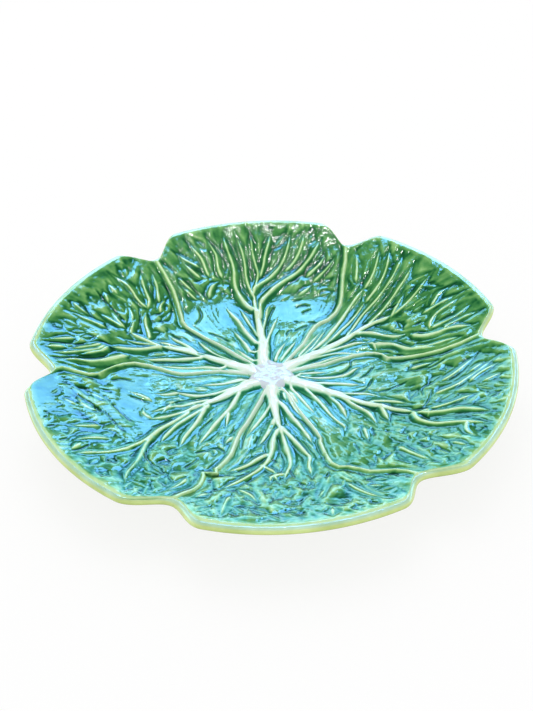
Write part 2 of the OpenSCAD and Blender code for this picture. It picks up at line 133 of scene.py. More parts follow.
# The leaves, counter-clockwise: the direction that each points in, in degrees, how crumpled it
# is, and the courses of its veins and creases as pairs across,out in mm. A pad is a swelling
# between them: across, out, half width, half height, its turn in degrees and how high it is
LEAVES = [
    dict(name="leaf_back_right", axis=36, crumple=0.6, veins={
        "trunk": [
            "-2,12 -2,20 -1.5,30 -1,40 -1,50 -1,60 -.5,68 .5,74 3,79 4.5,84 5.5,88"],
        "bough": [
            "-4,33 -7,42 -10,50 -13,58 -16,66 -19,73 -21.5,80 -23.5,86 -24,91",
            "-.5,30 1,38 2.5,46 4,53 6.5,59 10.5,62.5 14,64",
            "-.5,62 3,66.5 8,70 14,72.5 19.5,75 22,79.5 24.5,84",
            "26,82 31,83 35,86.5 38,91 40,95 43,99 46.5,102 50,105 51.5,108",
            "14,64 18,67 22,70 27,71.5 33,72.5 38,77 43,81 47,85"],
        "rib": [
            "-3,38 -5,45 -7,52 -9,59 -10,66 -12,73 -14.5,80 -17,86",
            "-4.5,26 -6.5,33 -9,39 -12,45 -15,51 -17,56",
            "-6,25 -9,32 -12,39 -15,46 -17.5,52",
            "14,64 17,62.5 19.8,60.5",
            ".5,24 1.5,30 3,37 5,43 8,47.5 12,51.5 14.5,54.5",
            "2,13 3,19 4.5,25 6,31 7,37 8.5,43 11,49",
            "5,86 2.5,91 0,97 -2.5,103"],
        "rim": [
            "5.5,88 5.5,95 4.5,102 3,109 1,116 0,124",
            "-1,74 -1.5,80 -2.5,86 -4,92 -6,98 -8,104 -10,110 -12.5,116 -15,122",
            "-3,58 -5,64 -7.5,70 -9.5,76 -10.5,83 -12,91 -14.5,99 -17,106 -20,112 -23,118 -26,123",
            "-15,83 -16.5,88 -18,94 -20.5,100.5 -24,106.5 -28.5,112.5 -33,117 -36.5,120.5",
            "-24,91 -26,96 -29,101.5 -33,107 -37,112 -41.5,116.5",
            "-31.5,89 -36,93.5 -41,98 -47,102.5 -50,105",
            "31,91 28,94 25.8,99 26,105 27.2,110 27.5,116 28.5,121.5",
            "31.5,91 34,97 36,102 37.5,108 37,114 37.5,120",
            "38,97 40,103 42,109 45,114 46.5,118",
            "36,77 40,80 43,84 46.5,89.5 50,94 54,98",
            "19,97 20.5,103 22,109 24,115 25.5,122",
            "19,103 17.5,107.5 15.5,112 16,117 17.5,124"],
        "twig": [
            "-5.5,108 -4,113 -2,118 -.5,124", ".5,110 5,113 9,115.5 13,118",
            "12,84 15,83.5 18.5,82", "2,70 7,73 13,75.5 19,77.5",
            "8,92 9,98 10,105 10.5,112", "13,94 14,100 13.5,107", "-30,80 -34,84 -38,89"]},
        creases=["-4,30 -4,38", "-4.3,45 -4.3,58", "24,64 28,66", "30,66 34,69",
                 "22,88 23,93", "0,88 1,94"],
        pads=["14,80,4,3,0,.5", "30,77,4,2.5,20,.5", "-30,70,3,5,20,.5", "12,104,3,5,10,.4",
              "-32,90,2,3,40,.4", "44,91,3,4,-40,.5"]),
    dict(name="leaf_back", axis=96, crumple=0.6, veins={
        "trunk": [
            "-2,15 -2,20 -1.5,25 -1,32 -1,40 -1,48 -1,55 -1.5,62 -1.5,70 -1.5,77"],
        "bough": [
            "0,56 1,63 2,68.5 5,72.5 9,76 13,80 18,83 24,85.5 29,89 33,93 37,97 41,103 46,110",
            "-4.5,33 -7,38 -9,43 -11,49 -13,55 -16,60 -18.5,65 -20,70",
            "-6,66 -8.5,71 -10.5,76 -12,81 -12.3,86 -11.7,92 -11.8,98 -13,104 -14.5,111 "
            "-15.5,118 -16,123"],
        "rib": [
            ".5,42 2,50 4,57 5,62 7,66 10,68 12,68.5",
            "1,28 2,34 4,40 6,45 8,50 10.5,55 13,58",
            "-3.5,40 -5,47 -7,53 -8.5,58 -10,63 -12.5,68",
            "-9,26 -11,33 -13.5,39 -16,45 -18,50", "-8,17 -12,22 -15,27 -19,32",
            ".5,81 4,83.5 9,86 14,90.5 18,95 21,100 23.5,106 25.5,112 27.5,119",
            "-29,74 -28,79 -26,83.5 -22.5,86 -20,89",
            "4,14 6,20 9,26 12,31 15,35", "7,14 10,19 14,25 18,31 21,36"],
        "rim": [
            "-1.5,74 -3,78.5 -4.2,84 -4.6,90 -4.3,97 -4.6,104 -5.5,111 -6.8,117 -8.2,124",
            "-1.5,76 0,81 2,86 3.2,91 2.4,97 1.6,103 1.5,110 1.7,117 1.2,125",
            "-27.5,90 -29,95 -30,100 -31.5,104.5 -35,110 -38,114.5 -41,118",
            "-19.5,89 -21,94 -21.5,100 -21.5,106 -23.5,111 -26,117 -27,122",
            "-33,97 -37,99.5 -42,102.5 -45.5,106 -49,109.5",
            "-33,89 -37,93 -41,98 -45,103",
            "-43,80 -40,76.5 -37,73 -33,71.5", "-46,88 -43,84 -39,79.5 -35,76",
            "4,88 5.5,92 7.5,97.5 8.8,103 11,109 13.5,115.5 15.5,123",
            "20,90.5 24,93.5 28,98 31,103 33.5,109 35.5,115 37,120",
            "33,84 38,88 43,92 46,97 48,102", "36,79 40,82 45,86 50,91 54,97",
            "26,71.5 31,74 36,78.5"],
        "twig": [
            "-19,89 -16.5,86 -13,84", "-29,111 -32,115 -35,119", "-37,90 -34,88 -31,88",
            "-20,75 -19.5,79", "-16,74 -13.5,76", "38,68 43,69 48,69", "40,75 44,77.5 49,79",
            "16,109 19.5,113 22.5,117 25,121", "28.5,108 31,113 34.5,119",
            "37,108 40,112.5 43,116", "14,69 18,71.5 23,73.5", "-17,94 -17.5,101 -18,108"]},
        creases=["2.5,45 6,58 10,65", "-20,37 -24,42 -31,46", "23,62 27,63.5 31,62",
                 "26,57 31,59", "20,51 23,49.5", "28,49 33,47", "19,42 24,45 28,46",
                 "14,38 15.5,43 18.5,43.5", "22,67.5 27,68", "-38,54 -34,60 -36,66"],
        pads=["27,54,4,2,10,.7", "24,48,3.5,2,10,.7", "18,60,2.5,5,-20,.6", "24,60,3,2,0,.6",
              "33,53,4,2.5,10,.6", "-27,56,7,12,25,.8", "-36,60,4,6,20,.6", "-12,90,3,6,0,.3"]),
    dict(name="leaf_back_left", axis=156, crumple=0.7, veins={
        "trunk": [
            "2,12 2.5,20 3,28 3.5,36 4,44 3.5,50 3,56 1.5,62 0,67 -2,71"],
        "bough": [
            "1,45 -2,50 -6,56 -9,61 -12,65 -14.5,69 -16.5,74",
            "-1.5,69 -5,72 -10.7,77 -14.4,81.7 -18,87.5 -20,92 -21,95",
            "-1.3,70 -1.8,75 -2.3,83 -1.8,88.5 -.2,93",
            "5,50 7,55 8,60 8.5,65 10,69 12.5,71.5",
            "5,53 4,60 3,66 1.5,72 -.5,77",
            "-20,80 -26.6,84 -33,87.5 -37.6,91.2 -40.3,94.9 -43,99 -47,104 -50,107"],
        "rib": [
            "-3,30 -5,38 -9,46 -12.5,54 -15,61 -17,66",
            "4,18 6,28 8,39 11,46 13.5,50.5 17.5,55.5", "6,14 7.5,20 8.5,26",
            "-1,14 -1.5,20 -2.5,27 -3.5,33",
            "-26,94 -31,97 -36,101 -41,105 -45,109 -48,113",
            "-26,92 -31,95 -36,98 -41,102", "-25,97 -30,100 -35,104 -40,108",
            "-38,108 -43,114 -46,117", "-.5,88 4,89.5 9,92 13,95 16,99 17,101",
            "4,79 10,84.5 17,88 21.5,89"],
        "rim": [
            "-.2,93 1.5,97 3.5,101 6.5,106", "-28,108 -33,112.5 -37,116.5 -40,120",
            "-2,72 -6,79 -8.3,85 -9.2,91",
            "-8,100 -8.5,106 -10,112 -10.5,118 -12,124", "-3.5,124 -5.5,115 -6,108",
            "-.8,95 -.7,103 -.5,112", "11,109 14,112 17,116", "20,108 22,113 24,117.5",
            "21.5,89 22.4,94 24.5,98 27.6,102 30.3,107.5 30.8,115 31.5,121",
            "21.5,89 27.6,90.7 30.3,93.8 34,97.5 38,101 42,104 46.5,107",
            "29.7,85.4 34,88.6 39.8,92 43.4,95.4 47.7,99.6 50,103",
            "23.4,81.7 28.7,84.3 36,82.8"],
        "twig": [
            "-24,106 -20,102 -17,100", "-24,112 -20,108 -18,104", "-18,112 -18,118 -20,124",
            "10,98 13,103 15,108", "36,110 40,113 42,116", "8,120 6,115 4,111",
            "45.5,92 41,93", "18,78 23,76.5 28,76.5 31,78", "34,110 37,115 39,119",
            "5,79 8,76 10,73", "18,100 19,106 18,112", "-25,122 -26,116"]},
        creases=["-27.6,88 -33,91 -37,94.4 -42.4,100 -50,108.6",
                 "-26.6,102 -31,104 -35,110 -39,115 -42,119", "3.5,48 4.5,42",
                 "7,15 9,27 13,35 15.5,43 17,50 18.5,57 20.5,65", "-4,48 -7,53 -10.5,60 -15,66.5",
                 "4,95 7,102 9,108 12,114 14.5,119", "10.5,62 11,66 12.5,69", "2,90 10,91.5",
                 "20,83 24,81", "8,87 12,89 18,93"],
        pads=["-30,95,4,3,-40,.6", "16,62,2.5,5,0,.6", "13,76,4,3,0,.8", "18,81,3,2.5,0,.6",
              "-18,100,6,5,0,.8", "-44,92,5,7,-20,.5", "-28,82,5,3,30,.5", "14,57,2,3,0,.5",
              "-8,68,3,5,-30,.4"]),
    dict(name="leaf_front_left", axis=216, crumple=1.0, veins={
        "trunk": [
            "3,12 3,20 2.8,26 3.5,32 4,38 4.5,44 5,50 4.5,56"],
        "bough": [
            "1.5,42 1,48 0,54 -1,59 -2.5,64 -5,69 -8,74 -11,78 -14.4,82",
            "3,54 1,62 -1.8,72.7 -4.4,78 -7,83.3 -9.2,88.5 -11.3,96.5 -12.3,104.4 -11.3,112.3 "
            "-9.7,117.5 -8,124 -7.5,128",
            "5,46 5,52 5.5,58 6.2,65 8,72 9.8,77",
            "1,44 -1,46.5 -5,52.5 -8,57.5 -11,62.5 -14.5,67.5 -18,71 -21,76",
            "0,22 -2,25 -6,31 -9,38 -12,45.5 -15.5,52 -18,56.5 -21,61.5 -24.5,66",
            "5,22 6.5,28 8.5,34 11.5,40 15.5,44 19,46.5 22.5,49.5 26,51.5",
            "6,39 8.5,45 11,51 14,55.5"],
        "rib": [
            "-7,82 -9.7,85.4 -13.4,89.6 -18,93.8 -23.4,99 -27.6,104.4 -31,109 -36,113 -41,116",
            "8,46 10,52 12.5,56 13.3,61 13.5,67 14,73",
            "-10.5,36.5 -15.5,41 -19.5,44.5", "7,13 10,19 13,25 16,29.5 19,34 22,38",
            "22,64.5 27,66.5 31,70 36,73.5", "15.5,56 12,62 10,67", "14,74 19,71.5",
            "21,49 22.5,54 25,58 30,61", "-26,44 -28,50 -30,53",
            "6,15 7.5,22 9.5,28", "9,14 12,20 16,26"],
        "rim": [
            "-1,102.5 1,107 2.3,112 2.8,118 2.5,124", "10.5,101 11.5,106 13,111 15,116 17,121",
            "21.8,95.4 25.5,99.6 30.3,101 36,100 42,99.6", "29.7,103.8 34.5,107 39,109",
            "28.7,87 35,91.2 39,94 44,99", "-1,118 -3.5,122 -4,126",
            "-47,86 -50,90 -52,97 -52,104"],
        "twig": [
            "3,97 3.5,101 4,106", "-18,122 -16,117 -13,113", "-20,110 -16,112",
            "-29,90 -30,84", "-38,98 -34,101 -30,100", "-46,108 -41,110 -36,112",
            "-44,118 -40,113 -38,108", "-52,112 -47,108 -43,103", "-27,118 -30,122",
            "6,108 7,114 6,120", "20,124 23,120", "24,112 27,117 28,123", "-48,98 -43,95 -40,92",
            "-34,62 -31,58 -28,60 -28,68", "-37,94 -32,95 -27,94", "45,106 42,110 41,115",
            "32,112 34,118 34,124", "-24,82 -21,78 -20,73", "12,122 10,117"]},
        creases=["2.5,61 2.6,68 1.5,76", "7,34 9,38 11,43 14,49 15,55 15.5,60",
                 "22,95 28,96 33,98.5 38,99.5", "22,67 26,70 30,73", "-15,59 -12,55 -9,49 -8,45",
                 "16.5,122 16.7,127", "26,121 29,122", "23,125 25,122", "-29,94 -20,93.5 -17,90",
                 "-36,56 -30,55 -28,60 -28.5,68", "-38,82 -36,75 -33,70", "20,93 12,93 2,92.5",
                 "44,76 44.5,70 40,65",
                 "-24,45 -21.5,40", "9,84 18,85 26,86", "5,121 4,127", "-6,127 -5,119 -3,114"],
        pads=["12,85,14,7,0,1.0", "-22,84,5,9,20,1.0", "-30,79,7,7,0,1.0", "36,69,7,5,0,.8",
              "18,66,4,6,0,.7", "47,92,5,8,-20,.9", "16,35,2.5,4,-20,.6", "21,44,4,2.5,30,.6",
              "19,53,2.5,4,0,.7", "-32,65,3,5,0,.7", "24,117,14,6,-15,.8", "-15,127,7,2.5,8,.6",
              "36,76,6,4,0,.7", "-17,80,2.5,5,0,.5", "26,44,3,3,0,.5", "-24,50,3,4,0,.5",
              "16,76,3,3,0,.4", "-45,88,4,4,0,.5"]),
    dict(name="leaf_front", axis=276, crumple=1.15, veins={
        "trunk": [
            "1,12 1,18 1,26 1,34 .5,40 0,46"],
        "bough": [
            "0,43 -.6,50 -1,58 -1.5,66 -1.3,72 0,77 1.8,81 3.6,86 4,91",
            "2,44 4,48 5.5,53 6.5,59 8.5,65.5 11.2,71 14.5,75.4 19,80 25,86 30.8,90.7 38,95",
            "8,62 12,64.5 16,67 20,71 25,74 30,76 33.5,77.5",
            "-.5,42 -2.5,45.5 -5,50 -8,57 -10,63 -12,68 -9.8,75.4 -10,83 -9.7,90",
            "2,35 4,39 6,43 8.5,47 11,51 15.5,55.5",
            "-1,20 -4,24.5 -5.5,29 -7.8,34.5 -10.5,41 -13,48 -14.6,54 -15.3,59"],
        "rib": [
            "3,23 6,28 10,34 15,40.5 18.7,46", "-7,12 -8,18 -9,25 -11,31 -15,37",
            "-2.5,12 -3,18 -2,24", "4,12 6,16 9,20", "-5,14 -6,20 -6.5,26",
            "13,73 9,77 7,81 3,84", "10,84 12,92", "8,84 7,88 6,91"],
        "rim": [
            "-25,98 -27,103.3 -30.3,108.6 -34,113.3 -38,116.5 -43,118.5",
            "26.6,95 22.4,99 20.8,102.3 19.2,107.5 18.5,113",
            "31,101 33,104 35,110.7 36.6,117.5 37.6,124", "-40,106 -36,104.5 -33,103",
            "-18,88 -16,93 -14.5,97 -12.5,103 -9.5,109 -6,113",
            "41,98 45,100 49,102", "-14,119 -13.5,124 -13,128"],
        "twig": [
            "41,111 45,113.5 48,115", "44,108 48,106", "26,117 28,113 31,110",
            "30,118 31,113", "22,105 24,101", "-9,111 -6,113", "-36,121 -32,116",
            "-26,124 -25,119", "-44,101 -38,99 -33,98", "0,110 3,112 7,111", "-20,112 -24,116",
            "2,96 4,102 3,107", "8,98 10,104 13,109", "-4,98 -3,92", "-20,92 -22,99",
            "15,119 20,115 25,112", "-45,109 -40,110 -35,109", "12,96 15,101", "-8,94 -6,100",
            "0,122 4,118 9,119", "10,126 14,121 18,119", "42,118 45,114"]},
        creases=["10,65 15,70 20,73 26,77", "12,46 14.5,52", "-6.5,48 -10.5,59 -12.3,66",
                 "5,15 8,21 11,26 13.5,31 16,37 19,43 21,50 22,56", "-8,33 -13,38 -17,47 -19,54",
                 "-3,20 -4.5,12", "3.5,38 6,43", "-19,84 -17,89 -15,96 -12,103",
                 "-31,118 -36,121", "-20,119 -14,116 -10,113", "20,78 27,82 33,79.5 38,80",
                 "28,95.5 33,95", "-2,120.5 3,120.5", "20,92 23,88 19,84", "-20,66 -18.5,72",
                 "0,78 -1.5,86", "2.5,48 2,54 3,60", "5,70 8,66", "-35,94 -32,91",
                 "-50,98 -44,96"],
        pads=["18.5,51,3,5,-25,.7", "20,69,6,3,25,.6", "-5,80,4,6,0,.8", "-14,76,2,6,10,.6",
              "13,60,4,2,30,.6", "-26,92,6,8,0,.7", "-5,98,6,6,0,.7", "16,100,7,8,20,.7",
              "-20,106,6,7,-20,.6", "32,87,6,5,20,.6", "-38,112,5,4,-30,.5", "30,83,8,2,10,.6",
              "-17,120,6,3,0,.5", "25,122,6,3,0,.5", "42,122,5,2.5,-30,.5", "8,115,8,5,0,.5"]),
    dict(name="leaf_front_right", axis=336, crumple=1.0, veins={
        "trunk": [
            "-2,12 -2,20 -1.5,28 -1,34 -.5,40 .5,46 1,52 1,58 1.5,64 2.7,70 3.7,76 4.7,82 5.5,87"],
        "bough": [
            "1,44 3,48 4.5,52 6,56 8.5,60.5 12,64 16,67 19.5,69",
            "2,65 5,67 9,70 13,73 17,75.7", "0,34 3,38 5,42 8,45 13,49 18,52.5",
            "-3,20 -5,25.5 -7,30 -10,37 -12.5,45 -15,52.5",
            "5.5,87 6,92 5.5,95 4.5,99 3.2,104 2.3,109 3,116 4,121 5,127",
            "6,84 9,85.5 12.2,88.7 14,93 15.5,98 14.8,104 13.4,110.7 14,119 14.5,127"],
        "rib": [
            "2,22 4,26 8,32 13,38 17,43 20,48 22,52 26,53.3 30,54.5",
            "4,14 8,20 13,26.5 17,32 19.5,37", "-1.5,38 -3,43 -5.5,48 -7.5,54 -7,60 -6.8,66",
            "-2,60 -3,66 -3.5,72 -2.5,77 -2,82",
            "-7,13 -9,22 -12,29 -16,35 -20,39 -27,41 -31,47",
            "36,85 39.8,90.7 43.4,97 46.6,103.3 48,109", "-30.8,71 -35,79 -38,84.5",
            "-5,13 -6,20 -8,26", "7,14 11,19 15,24", "-10,14 -13,20 -16,25 -20,30",
            "21,62 28,66 34,69.5", "2.9,90 .5,96 -4,103 -9,110 -12,115"],
        "rim": [
            "-21.3,91 -24.4,94.4 -29.7,98 -35,100.7 -40,103.5 -45,105.5",
            "-10.7,90.7 -14.4,96 -18,100.7 -23.4,104.4 -29,108.6 -36,112.8 -42,116.5",
            "-20,106 -25.5,108.6 -31.8,113.9 -35,118 -37,123",
            "15,113.3 20.8,114.4 24.5,118.6 27.8,125.5", "30.8,109.6 32,114 34.3,121",
            "-20,113 -23,116.5 -26,120 -27.5,124", "-28,104 -33,107.5 -38,111",
            "4,91 8,92.5 12,91.5"],
        "twig": [
            "-3,114 -5,118 -7,121", "22,92 25,93.5 26.5,98", "24,100 22,106 21,112",
            "40,78 45,81 50,82", "42,86 47,90 50,95", "50,98 49,104", "-16,112 -14,118 -15,124",
            "-8,119 -11,124", "38,104 40,110 43,115", "26,98 29,104 28,110", "36,112 39,117",
            "9,97 10,104 9,111 9,118", "20,84 25,86", "-26,89 -22,86 -17,85", "32,96 35,102",
            "-14,80 -9,78 -5,79", "-12,100 -7,96 -4,93", "44,112 47,117", "-34,90 -29,92",
            "20,118 18,123", "-10,104 -6,108"]},
        creases=["2,47 3,53 4,59 6.5,64", "2,36 4.5,42 8,47", "3,27 3.5,32 9,39",
                 "-10,59 -14,66 -20,72", "-3.5,30 -3.5,38", "4,16 6,22 8,28", "3,82 1.5,88 3,95",
                 "-39,88 -34,84 -31,80", "-20,53 -10,52.5 -6,46", "-30,50 -23,49 -18,46",
                 "11,124 11,125", "18,123 20,124", "15,117 17,118", "-11,116 -11,119",
                 "34,103 37,107 40,112", "-32,36 -26,38 -20,36 -15,30 -10,20", "20,66 27,70",
                 "36,62 41,66 45,68", "-9,85 -15,82 -20,85", "26,87 30,89", "21,74 24,76",
                 "40,84 48,80", "-14,88 -5,89 0,88", "7,88 12,94", "45,76 52,79", "-24,120 -26,121"],
        pads=["-24,59,5,9,20,.9", "-24,75,7,5,-30,.9", "-15,62,5,5,0,.6", "-18,46,4,4,0,.7",
              "-8,73,4,6,10,.7", "-48,96,5,8,30,.7", "-36,74,4,7,15,.6", "25,60,5,3,30,.7",
              "28,74,6,4,10,.7", "46,70,7,4,0,.7", "25,84,6,5,10,.7", "-22,80,6,3,0,.6",
              "10,103,3,6,0,.6", "16,78,3,5,-30,.5", "47,86,7,6,30,.6", "35,101,5,7,20,.5",
              "-14,87,8,3,-10,.6", "-40,97,5,3,-40,.5", "24,106,5,6,0,.5", "-2,84,3,3,0,.6"]),
]


def pairs(text):
    """Points of a written line."""
    return np.array([[float(x) for x in pair.split(",")] for pair in text.split()])


def places(text):
    """Points of a written line, with its corners cut twice so that it runs smooth."""
    line = pairs(text)
    for _ in range(2):
        near = line[:-1] * 0.75 + line[1:] * 0.25
        far = line[:-1] * 0.25 + line[1:] * 0.75
        middle = np.stack([near, far], 1).reshape(-1, 2)
        line = np.concatenate([line[:1], middle, line[-1:]])
    return line


def line_distance(points, line, reach):
    """For each point within reach of a line: its index, its distance and how far along it is."""
    low, high = line.min(0) - reach, line.max(0) + reach
    near = np.nonzero(((points >= low) & (points <= high)).all(1))[0]
    start, run = line[:-1], line[1:] - line[:-1]
    length = np.hypot(run[:, 0], run[:, 1])
    before = np.concatenate([[0], np.cumsum(length)[:-1]])
    best = np.full(len(near), np.inf)
    along = np.zeros(len(near))
    for s in range(len(run)):
        off = points[near] - start[s]
        t = np.clip(off @ run[s] / max(length[s] ** 2, 1e-9), 0, 1)
        away = off - t[:, None] * run[s]
        d = np.hypot(away[:, 0], away[:, 1])
        closer = d < best
        best[closer] = d[closer]
        along[closer] = before[s] + t[closer] * length[s]
    return near, best, along, length.sum()


def zone(angle, radius, toward, spread, r_in, r_out):
    """1 inside a stretch of the dish and 0 outside it, with soft ends."""
    off = (angle - toward + 180) % 360 - 180
    band = smooth((radius - r_in) / 8) * (1 - smooth((radius - r_out) / 8))
    return band * np.exp(-(off / spread) ** 4)


def branch_off(kind, line, lines):
    """The vein, with its root carried back to a heavier vein close by, as veins branch."""
    heavier = [other for name, other in lines
               if name == "trunk" or (name == "bough" and kind != "bough")]
    marks = np.concatenate(heavier)
    marks = marks[np.hypot(marks[:, 0], marks[:, 1]) < np.hypot(*line[0]) - 1.5]
    if not len(marks):
        return line
    gap = np.hypot(marks[:, 0] - line[0, 0], marks[:, 1] - line[0, 1])
    if gap.min() > BRANCH_REACH[kind]:
        return line
    start = marks[gap.argmin()]
    bend = line[0] * 2 - line[min(3, len(line) - 1)]
    middle = (start + line[0]) / 2 * 0.6 + bend * 0.4
    return np.concatenate([[start, middle], line])


def value_noise(x, y, seed):
    """Smooth random surface from -1 to 1 with knots one unit apart."""
    count = 128
    knots = np.random.default_rng(seed).uniform(-1, 1, (count, count))
    i, j = np.floor(x).astype(int), np.floor(y).astype(int)
    fx, fy = smooth(x - i), smooth(y - j)
    a, b = knots[i % count, j % count], knots[(i + 1) % count, j % count]
    c, d = knots[i % count, (j + 1) % count], knots[(i + 1) % count, (j + 1) % count]
    return (a + (b - a) * fx) * (1 - fy) + (c + (d - c) * fx) * fy


def seam_line(k):
    """Seam k as angles and radii in mm, from the heart outwards."""
    line = pairs(SEAMS[k])[::-1]
    return line[:, 0], line[:, 1] * RIM_R


def seam_angle(k, r):
    """Angle of seam k at radius r; seam 6 is seam 0 one turn on."""
    angles, radii = seam_line(k % LEAF_COUNT)
    mean = sum(np.interp(r + shift, radii, angles) for shift in (-1.5, -0.5, 0.5, 1.5)) / 4
    return mean + 360 * (k // LEAF_COUNT)


# The leaf's net: points outwards and across, and how many of them one step below skips
ROWS, COLUMNS, COARSE = 300, 250, 10
LEAF_IN_R = 8.0         # the leaves start under the heart
LEAF_INSET = 1.6        # where the leaf sinks into the body, inside the lip
LEAF_L = 120.0          # about a leaf's length, from the heart to the lip
LIP_GROUND_H = 1.0      # height of the leaf along the lip
LIP_STEP_L = 2.4        # length of the step from the leaf down into the lip
LIP_SINK = 0.3          # how far the leaf's end sinks below the dish's face
OVERLAP = 2.6           # how far a leaf goes past its seam, over or under its neighbour
# How deep a leaf dives past its seam, and where that starts, for the leaf on top and under
DIVE_TOP, DIVE_UNDER = (2.6, 0.5), (1.2, -0.4)
SEAM_REACH, VEIN_REACH = 14.0, 12.0     # how far from a seam or vein its distance is worked out
# The rolled edge of the leaf on top: half width, height near the heart and at the rim, the
# share of its height that the crest has, and how much wider its soft flank is
EDGE_HALF_W, EDGE_MORE_W = 0.9, 0.3
EDGE_H, EDGE_LESS_H = 1.8, 0.5
EDGE_CREST_SHARE, EDGE_SKIRT = 0.65, 1.8
GROUND_H = 0.35         # leaf's lowest ground above the dish
PILLOW_H = 0.75         # how far the ground swells up between the veins
CRUMPLE_LESS = 0.35     # taken off every leaf's crumple, which came out too rough
PAD_SHARE = 0.65        # how much of the written height of a pad is used
# Where the ground between the veins is calm: direction and spread in degrees, inner and outer
# radius in mm, and the share of the relief that is missing there
CALM_GROUND = [(92, 40, 38, 74, 0.75), (200, 20, 60, 82, 0.7), (193, 22, 112, 140, 0.7),
               (92, 75, 102, 140, 0.25)]
FOLDED_GROUND = (198, 32, 86, 106)      # the folds between the two calm places on the left
FOLD_H = 1.1
UNDER_DEPTH = 2.0       # underside of a leaf below the dish's upper face, in the body


def leaf_net(k):
    """Points of leaf k in the plan, and for each the share of the way from heart to lip."""
    rho = np.linspace(0, 1, ROWS + 1)[:, None]
    column = np.linspace(0, 1, COLUMNS + 1)[None, :]
    notch = FIRST_NOTCH + TURN * k
    notch_in = inset_r(np.array([notch]), LEAF_INSET)[0]
    r_seam = LEAF_IN_R + (notch_in - LEAF_IN_R) * rho
    right, left = seam_angle(k, r_seam), seam_angle(k + 1, r_seam)
    margin = np.degrees(OVERLAP / r_seam) * smooth((1 - rho) / 0.03)
    right, left = right - margin, left + margin
    angle = right + (left - right) * column
    r = LEAF_IN_R + (inset_r(notch + TURN * column, LEAF_INSET) - LEAF_IN_R) * rho
    return angle, r, rho + 0 * column


def past_seam(seam, side, axis, points, angle, radius):
    """How far each point lies past a seam of its leaf, negative on the leaf's own side."""
    angles, radii = seam_line(seam % LEAF_COUNT)
    a = np.radians(angles + 360 * (seam // LEAF_COUNT)) - axis
    course = np.stack([-radii * np.sin(a), radii * np.cos(a)], 1)
    near, d, _, _ = line_distance(points, course, SEAM_REACH)
    past = np.full(len(points), -SEAM_REACH)
    past[near] = -d
    outside = (angle - seam_angle(seam, radius)) * side > 0
    past[outside] = np.abs(past[outside])
    return past


def roll_edges(sides, radius, raised, ridge, clear):
    """Adds the rolled edges to the relief of a leaf. The last three arrays change in place."""
    half = EDGE_HALF_W + EDGE_MORE_W * smooth((radius - 30) / 50)
    for on_top, past in sides:
        away = np.abs(past)
        if on_top:
            height = EDGE_H - EDGE_LESS_H * smooth((radius - 80) / 40)
            profile = EDGE_CREST_SHARE * np.exp(-(away / half) ** 2)
            profile += (1 - EDGE_CREST_SHARE) * np.exp(-(away / (half + EDGE_SKIRT)) ** 2)
            raised += (height * profile) ** MEET_POWER
            crest = np.exp(-(away / half / 0.8) ** 2)
            pale = 0.95 - 0.25 * smooth((radius - 50) / 40)
            ridge[:] = np.maximum(ridge, crest * pale)
        clear[:] = np.minimum(clear, np.clip(away - half * 0.9, 0, None))


def raise_veins(k, points, x, y, raised, ridge, clear):
    """Adds the veins to the relief of leaf k. The last three arrays change in place."""
    uneven = value_noise(x / 6.0 + 40, y / 6.0 + 40, 61 + k)
    veins = [(kind, places(text)) for kind, texts in LEAVES[k]["veins"].items() for text in texts]
    trunk = veins[0][1]
    veins[0] = ("trunk", np.concatenate([[trunk[0] * 0.4], trunk]))
    veins = [veins[0]] + [(kind, branch_off(kind, line, veins)) for kind, line in veins[1:]]
    for kind, line in veins:
        root_w, tip_w, root_h, tip_h, pale = KINDS[kind]
        near, d, along, length = line_distance(points, line, VEIN_REACH)
        share = along / length
        fade = smooth((length - along + 0.5) / min(FADE_L[kind], length * 0.6))
        if kind == "trunk":
            w = tip_w + (root_w - tip_w) * (1 - share) ** 1.5
            power, part = TRUNK_CREST_POWER, TRUNK_CREST_SHARE
        else:
            w = tip_w + (root_w - tip_w) * (1 - share)
            power, part = CREST_POWER, CREST_SHARE
            fade = fade * smooth((along + 2.0) / 5)
        w = w * (0.55 + 0.45 * fade) * (1 + 0.12 * uneven[near])
        h = (root_h + (tip_h - root_h) * share) * (0.15 + 0.85 * fade) * (1 + 0.15 * uneven[near])
        crest = np.exp(-(d / w) ** power)
        flank = np.exp(-(d / (SKIRT + w)) ** 2)
        raised[near] += (h * (part * crest + (1 - part) * flank)) ** MEET_POWER
        ridge[near] = np.maximum(ridge[near], crest * fade * pale)
        clear[near] = np.minimum(clear[near], np.clip(d - w * 1.2, 0, None) + 3 * (1 - fade))


